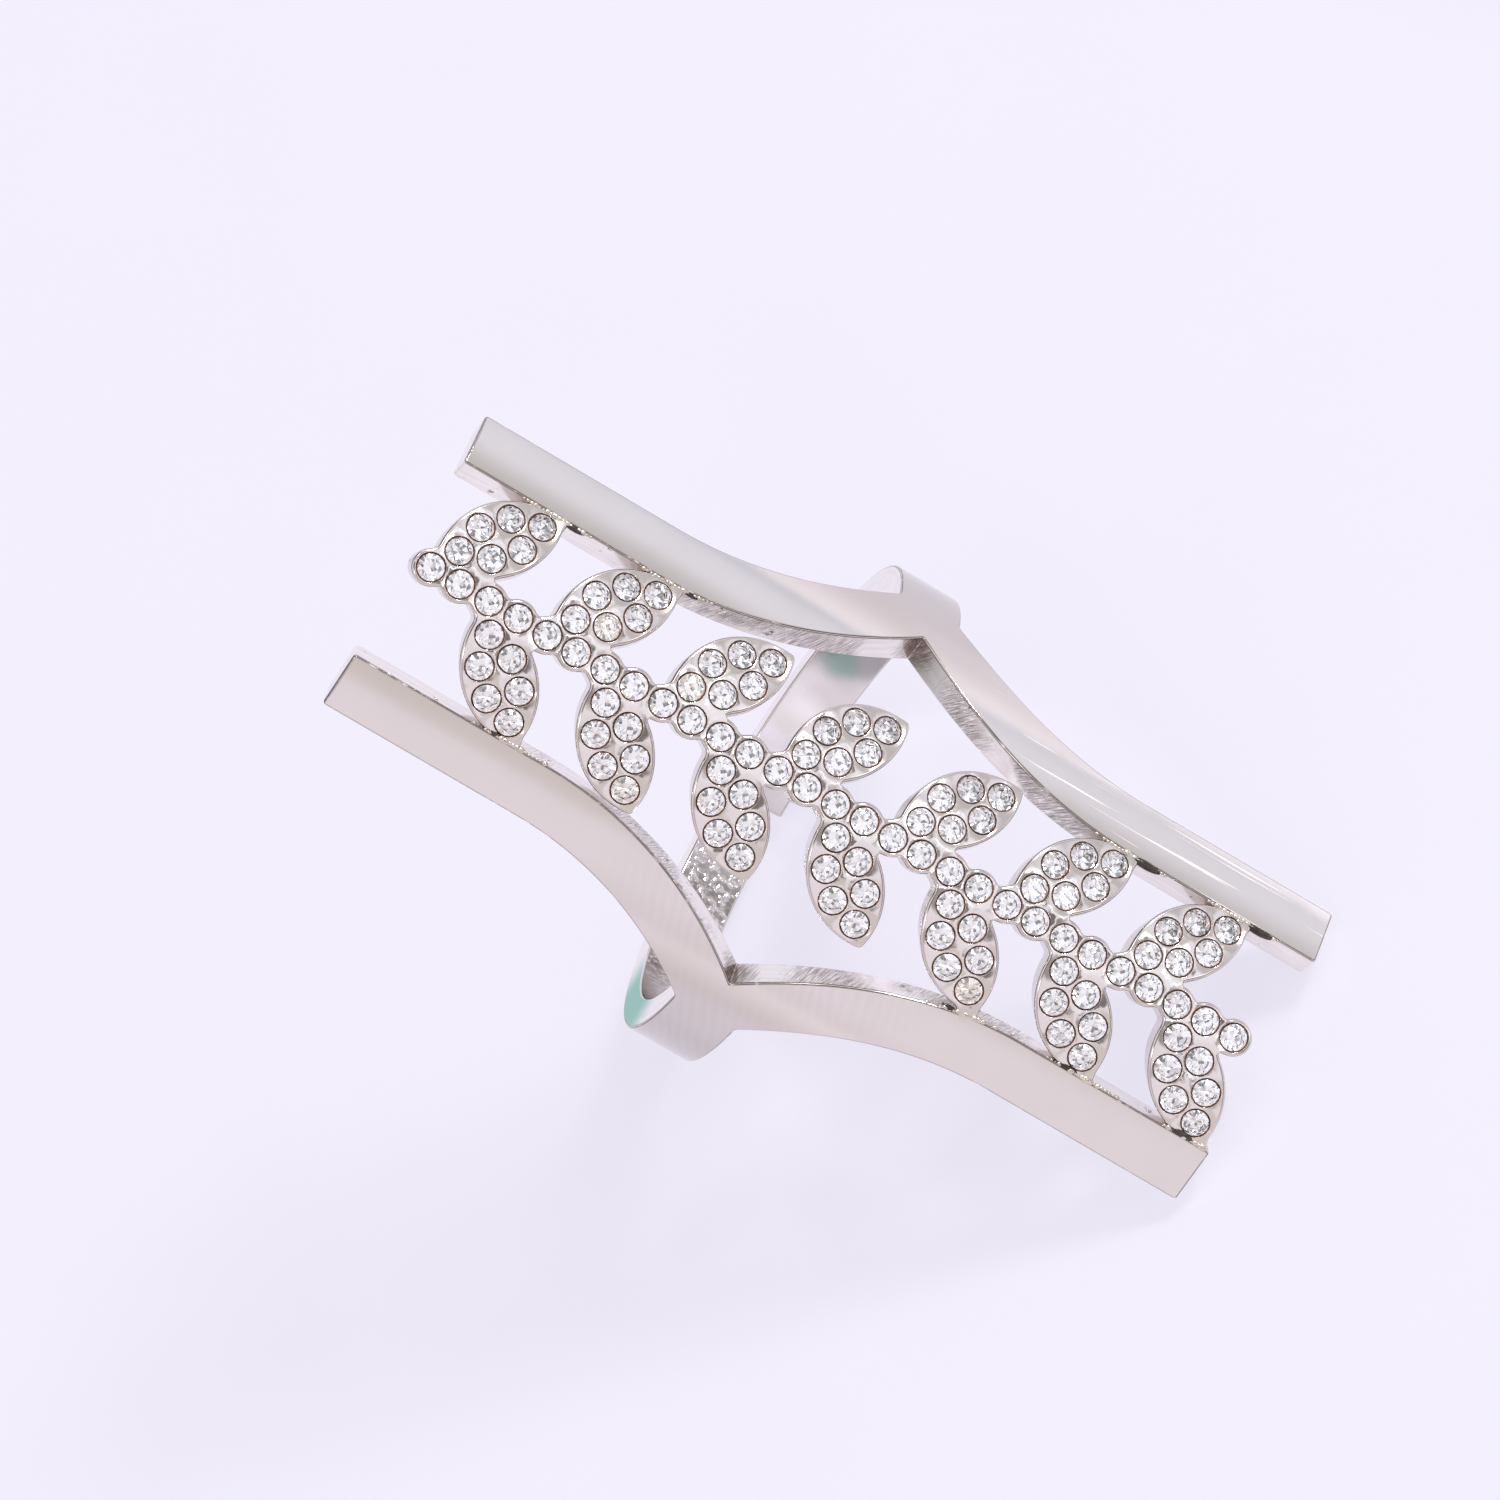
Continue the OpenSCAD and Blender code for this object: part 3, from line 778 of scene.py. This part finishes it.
def web_swell(points):
    """How far the metal between the stones swells up, rounded and uneven where the tumbler has worn it."""
    to_stone = np.min([np.hypot(points[:, 0] - u, points[:, 1] - s) for u, s in stones_at], 0)
    share = 1 - np.exp(-np.clip(to_stone - PIT_R - PIT_LIP, 0, None) / SWELL_REACH)
    uneven = np.array([noise.noise(Vector((u / WAVE_LENGTH, s / WAVE_LENGTH, 0.0))) for u, s in points])
    return share * (SWELL_RISE + WAVE_RISE * uneven)


def pit_glue():
    """Dark brown glue, a little glossy, that lines each pit to just below its lip."""
    material, tree, shader, add = new_material("pit_glue")
    place = add("TexCoord")
    cloud = add("TexNoise", {"Vector": place.outputs["Object"]}, Scale=1500.0, Detail=2.0)
    tone = add("MixRGB", {"Fac": cloud}, Color1=(0.03, 0.016, 0.011, 1), Color2=(0.30, 0.12, 0.05, 1))
    tree.links.new(tone.outputs["Color"], shader.inputs["Base Color"])
    shader.inputs["Roughness"].default_value = 0.35
    shader.inputs["Specular IOR Level"].default_value = 0.25
    return material


stones_at = stone_places()
branch_top = R_OUT - BRANCH_DROP
glue_r = PIT_R - GLUE_WIDTH
# Each row of a pit's profile: radius, distance from the finger's axis, its normal's parts inward and up
pit = {"mouth": PIT_R + PIT_LIP, "sides": PIT_SIDES, "kinds": [POLISHED, FOURTH, FOURTH, FOURTH],
       "profile": [(PIT_R + PIT_LIP, branch_top, 0.3, 1.0),
                   (PIT_R, branch_top - PIT_LIP, 1.0, 0.25),
                   (PIT_R, branch_top - GLUE_RIM, 0.7, 0.7),
                   (glue_r, branch_top - GLUE_LEDGE, 0.7, 0.7),
                   (glue_r, branch_top - PIT_DEPTH, 1.0, 0.0),
                   (glue_r, branch_top - PIT_DEPTH, 0.0, 1.0)]}
look_to = np.array([HALF_LENGTH + LOOK_PAST, LOOK_ASIDE])
outline = contours(branch_distance, -look_to, look_to)
tumbled = polished_metal("tumbled_metal", light=0.84, dark=0.78, waves=(1.1, 0.2, 0.00008))
branch = rolled_plate("leaf_branch", outline, R_IN, branch_top, BRANCH_EDGE,
                      [tumbled, cut, inner_face, pit_glue()], [POLISHED] * (2 * EDGE_STEPS + 1),
                      stones_at, pit, BRANCH_SPACING, web_swell)
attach(branch, "root")
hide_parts("ring_body")

# Solder: an uneven run along the rail's edge where each outer leaf's point is joined to it, a little brown
# from the flame, with a near-black drop of painted shade beside the leaf's point. Hard silver solder.
RUN_HALF = 1.55
RUN_DROPS = 19
# How far a run's last drop keeps from the rail's end, and how deep the run lies
RUN_END = 0.35
RUN_SINK = 0.05
# A drop and the near-black drop of painted shade: radius, stretch along the rail, how far in from the
# rail's edge, and how deep
DROP_R = 0.10
DROP_STRETCH = 1.5
DROP_IN = 0.02
DROP_SINK = 0.03
# A drop's size as shares of its radius: in the middle of the run, how much less at its ends, and by chance
DROP_MIDDLE = 1.15
DROP_TAPER = 0.65
DROP_CHANCE = 0.9
# Where a drop looks in the noise for its chance: step from run to run, from drop to drop, and height
CHANCE_STEPS = (3.1, 0.9, 0.5)
SHADE_DROP_R = 0.12
SHADE_DROP_STRETCH = 4.0
SHADE_DROP_IN = 0.06
SHADE_DROP_SINK = 0.06
# Which drop of a run is the near-black drop of painted shade, by the leaf's side
SHADE_DROP_AT = {1: 13, -1: 5}


def solder_metal(name, dark, light):
    material, tree, shader, add = new_material(name)
    place = add("TexCoord")
    scale = add("TexNoise", {"Vector": place.outputs["Object"]}, Scale=2600.0, Detail=4.0)
    tone = add("MixRGB", {"Fac": scale}, Color1=dark, Color2=light)
    tree.links.new(tone.outputs["Color"], shader.inputs["Base Color"])
    shader.inputs["Metallic"].default_value = 1.0
    shader.inputs["Roughness"].default_value = 0.24
    bump = add("Bump", {"Height": scale}, Strength=0.5, Distance=0.00008)
    tree.links.new(bump.outputs["Normal"], shader.inputs["Normal"])
    return material


def solder_runs():
    made = bmesh.new()
    for k in range(2 * LEAVES_A_SIDE):
        point = on_leaf(k, leaf_half + LEAF_LENGTH / 2 - SOLDER_R, 0)
        if abs(point[0]) <= SOLDER_FROM:
            continue
        for i, t in enumerate(np.linspace(-1, 1, RUN_DROPS)):
            u = np.clip(point[0] + t * RUN_HALF, RUN_END - HALF_LENGTH, HALF_LENGTH - RUN_END)
            chance = noise.noise(Vector((CHANCE_STEPS[0] * k, CHANCE_STEPS[1] * i, CHANCE_STEPS[2])))
            # Painted shade: one drop of each run is near-black, for the shaded gap beside the leaf's point
            shade_drop = i == SHADE_DROP_AT[leaf_side(k)]
            if shade_drop:
                radius = SHADE_DROP_R * (1 + chance)
                stretch, inward, sink = SHADE_DROP_STRETCH, SHADE_DROP_IN, SHADE_DROP_SINK
            else:
                radius = DROP_R * (DROP_MIDDLE - DROP_TAPER * abs(t) + DROP_CHANCE * chance)
                stretch, inward, sink = DROP_STRETCH, DROP_IN, DROP_SINK
            drop = bmesh.ops.create_icosphere(made, subdivisions=2, radius=1)["verts"]
            shape = np.array([v.co for v in drop]) * (radius * stretch, radius, radius)
            shape += (u, leaf_side(k) * (inner_edge(u) - inward), R_OUT - RUN_SINK - sink)
            for vertex, spot in zip(drop, at_rest(*shape.T)):
                vertex.co = spot
            for face in {face for vertex in drop for face in vertex.link_faces}:
                face.material_index = int(shade_drop)
    mesh = bpy.data.meshes.new("solder")
    bmesh.ops.recalc_face_normals(made, faces=made.faces)
    made.to_mesh(mesh)
    made.free()
    mesh.shade_smooth()
    # The second material, near-black, is painted shade
    for name, dark, light in [("solder_metal", (0.42, 0.36, 0.29, 1), (0.86, 0.79, 0.68, 1)),
                              ("solder_painted_shade", (0.03, 0.027, 0.024, 1), (0.14, 0.12, 0.105, 1))]:
        mesh.materials.append(solder_metal(name, dark, light))
    runs = bpy.data.objects.new("solder", mesh)
    bpy.context.scene.collection.objects.link(runs)
    return runs


solder = solder_runs()
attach(solder, "root")
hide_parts("ring_body")

# The stones: small round brilliants of clear glass with a silvered back, pressed into the glue of their
# pits, each one turned and tipped a little differently.
GIRDLE_R = 0.525
TABLE_R = 0.335
STAR_R = 0.44
CROWN_H = 0.16
GIRDLE_H = 0.06
PAVILION_H = 0.45
GIRDLE_SINK = 0.015
# How far up the crown the star facets' lower corners lie, and how many times the cut repeats round a stone
STAR_SHARE = 0.58
FOLD = 8
# The most that a stone tips, in radians, and the seed of its chance
STONE_TIP = 0.05
STONE_SEED = 11


def clear_glass():
    material, tree, shader, add = new_material("clear_glass")
    mark = add("Attribute", attribute_name="stone_tone")
    tone = add("ValToRGB", {"Fac": mark.outputs["Fac"]})
    set_stops(tone, [(0.0, (1.0, 1.0, 1.0)), (0.95, (0.99, 0.99, 1.0)), (1.0, (1.0, 0.95, 0.88))])
    tree.links.new(tone.outputs["Color"], shader.inputs["Base Color"])
    shader.inputs["Transmission Weight"].default_value = 1.0
    shader.inputs["Roughness"].default_value = 0.0
    shader.inputs["IOR"].default_value = 1.7
    return material


def silvered_back():
    material, tree, shader, add = new_material("silvered_back")
    mark = add("Attribute", attribute_name="stone_tone")
    tone = add("MixRGB", {"Fac": mark.outputs["Fac"]}, Color1=(0.99, 0.99, 1.0, 1),
               Color2=(0.97, 0.965, 0.96, 1))
    tree.links.new(tone.outputs["Color"], shader.inputs["Base Color"])
    shader.inputs["Metallic"].default_value = 1.0
    shader.inputs["Roughness"].default_value = 0.02
    return material


def cut_stone():
    """One brilliant in metres, its girdle's upper edge level with the origin, its back marked silvered."""
    def ring(radius, height, turn=0, count=FOLD):
        a = np.radians(360 * (np.arange(count) + turn) / count)
        return [(radius * math.cos(t) / 1000, radius * math.sin(t) / 1000, height / 1000) for t in a]

    points = ring(TABLE_R, CROWN_H) + ring(STAR_R, CROWN_H * STAR_SHARE, 0.5)
    scallop = PAVILION_H * (1 / math.cos(math.pi / FOLD) - 1)
    even, odd = ring(GIRDLE_R, -GIRDLE_H), ring(GIRDLE_R, scallop - GIRDLE_H, 0.5)
    points += ring(GIRDLE_R, 0, 0, 2 * FOLD) + [p for pair in zip(even, odd) for p in pair]
    points.append((0, 0, -(GIRDLE_H + PAVILION_H) / 1000))
    table, star, upper, lower, culet = 0, FOLD, 2 * FOLD, 4 * FOLD, 6 * FOLD
    faces = [tuple(table + i for i in range(FOLD))]
    for i in range(FOLD):
        j = (i + 1) % FOLD
        faces.append((table + i, star + i, table + j))
        faces.append((table + j, star + i, upper + 2 * j, star + j))
        faces.append((star + i, upper + 2 * i, upper + 2 * i + 1))
        faces.append((star + i, upper + 2 * i + 1, upper + 2 * j))
    for i in range(2 * FOLD):
        j = (i + 1) % (2 * FOLD)
        faces.append((upper + i, lower + i, lower + j, upper + j))
    clear_count = len(faces)
    for i in range(FOLD):
        j = (i + 1) % FOLD
        faces.append((lower + 2 * i, culet, lower + 2 * j, lower + 2 * i + 1))
    mesh = bpy.data.meshes.new("cut_stone")
    mesh.from_pydata(points, [], faces)
    silvered = mesh.attributes.new("silvered", "BOOLEAN", "FACE")
    silvered.data.foreach_set("value", [n >= clear_count for n in range(len(faces))])
    return bpy.data.objects.new("cut_stone", mesh)


def setting_tree():
    """Geometry nodes that put a stone on each point, standing along up, turned and tipped by chance."""
    tree = bpy.data.node_groups.new("set_stones", "GeometryNodeTree")
    sockets = {}
    for name, kind in [("Points", "Geometry"), ("Stone", "Object"), ("Tip", "Float"), ("Seed", "Int"),
                       ("Glass", "Material"), ("Back", "Material")]:
        made = tree.interface.new_socket(name, in_out="INPUT", socket_type="NodeSocket" + kind)
        sockets[name] = made.identifier
    tree.interface.new_socket("Stones", in_out="OUTPUT", socket_type="NodeSocketGeometry")
    given = tree.nodes.new("NodeGroupInput")
    result = tree.nodes.new("NodeGroupOutput")
    add = node_adder(tree, "")
    up = add("GeometryNodeInputNamedAttribute", data_type="FLOAT_VECTOR", Name="up")
    stand = add("FunctionNodeAlignRotationToVector", {"Vector": up.outputs["Attribute"]}, axis="Z")
    chance = add("FunctionNodeRandomValue", {"Seed": given.outputs["Seed"]}, data_type="FLOAT_VECTOR")
    chance.inputs[0].default_value = (-1, -1, -math.pi)
    chance.inputs[1].default_value = (1, 1, math.pi)
    spread = add("ShaderNodeCombineXYZ", {"X": given.outputs["Tip"], "Y": given.outputs["Tip"]}, Z=1.0)
    turn = add("ShaderNodeVectorMath", {0: chance.outputs["Value"], 1: spread.outputs["Vector"]},
               operation="MULTIPLY")
    rotation = add("FunctionNodeEulerToRotation", {"Euler": turn.outputs["Vector"]})
    whole = add("FunctionNodeRotateRotation", {"Rotation": stand.outputs["Rotation"],
                "Rotate By": rotation.outputs["Rotation"]}, rotation_space="LOCAL")
    stone = add("GeometryNodeObjectInfo", {"Object": given.outputs["Stone"]}, As_Instance=True)
    place = add("GeometryNodeInstanceOnPoints", {"Points": given.outputs["Points"],
                "Instance": stone.outputs["Geometry"], "Rotation": whole.outputs["Rotation"]})
    tone = add("FunctionNodeRandomValue", {"Seed": given.outputs["Seed"]}, data_type="FLOAT")
    keep = add("GeometryNodeStoreNamedAttribute", {"Geometry": place.outputs["Instances"],
               "Value": tone.outputs[1]}, data_type="FLOAT", domain="INSTANCE", Name="stone_tone")
    real = add("GeometryNodeRealizeInstances", {"Geometry": keep.outputs["Geometry"]})
    glass = add("GeometryNodeSetMaterial", {"Geometry": real.outputs["Geometry"],
                "Material": given.outputs["Glass"]})
    foil = add("GeometryNodeInputNamedAttribute", data_type="BOOLEAN", Name="silvered")
    back = add("GeometryNodeSetMaterial", {"Geometry": glass.outputs["Geometry"],
               "Selection": foil.outputs["Attribute"], "Material": given.outputs["Back"]})
    tree.links.new(back.outputs["Geometry"], result.inputs["Stones"])
    return tree, sockets


def set_stones():
    spots = np.array(stones_at)
    level = branch_top - GIRDLE_SINK
    mesh = bpy.data.meshes.new("stone_spots")
    mesh.from_pydata(at_rest(spots[:, 0], spots[:, 1], level).tolist(), [], [])
    up = mesh.attributes.new("up", "FLOAT_VECTOR", "POINT")
    up.data.foreach_set("vector", sheet_normals(spots[:, 1], np.zeros_like(spots), 1.0).ravel())
    carrier = bpy.data.objects.new("stone_spots", mesh)
    bpy.context.scene.collection.objects.link(carrier)
    stone = cut_stone()
    tree, sockets = setting_tree()
    modifier = carrier.modifiers.new("set_stones", "NODES")
    modifier.node_group = tree
    for name, value in [("Stone", stone), ("Tip", STONE_TIP), ("Seed", STONE_SEED),
                        ("Glass", clear_glass()), ("Back", silvered_back())]:
        modifier[sockets[name]] = value
    graph = bpy.context.evaluated_depsgraph_get()
    final = bpy.data.meshes.new_from_object(carrier.evaluated_get(graph))
    carrier.modifiers.remove(modifier)
    bpy.data.objects.remove(carrier)
    bpy.data.objects.remove(stone)
    final.name = "set_stones"
    made = bpy.data.objects.new("set_stones", final)
    bpy.context.scene.collection.objects.link(made)
    return made


stones = set_stones()
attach(stones, "root")
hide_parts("stones")
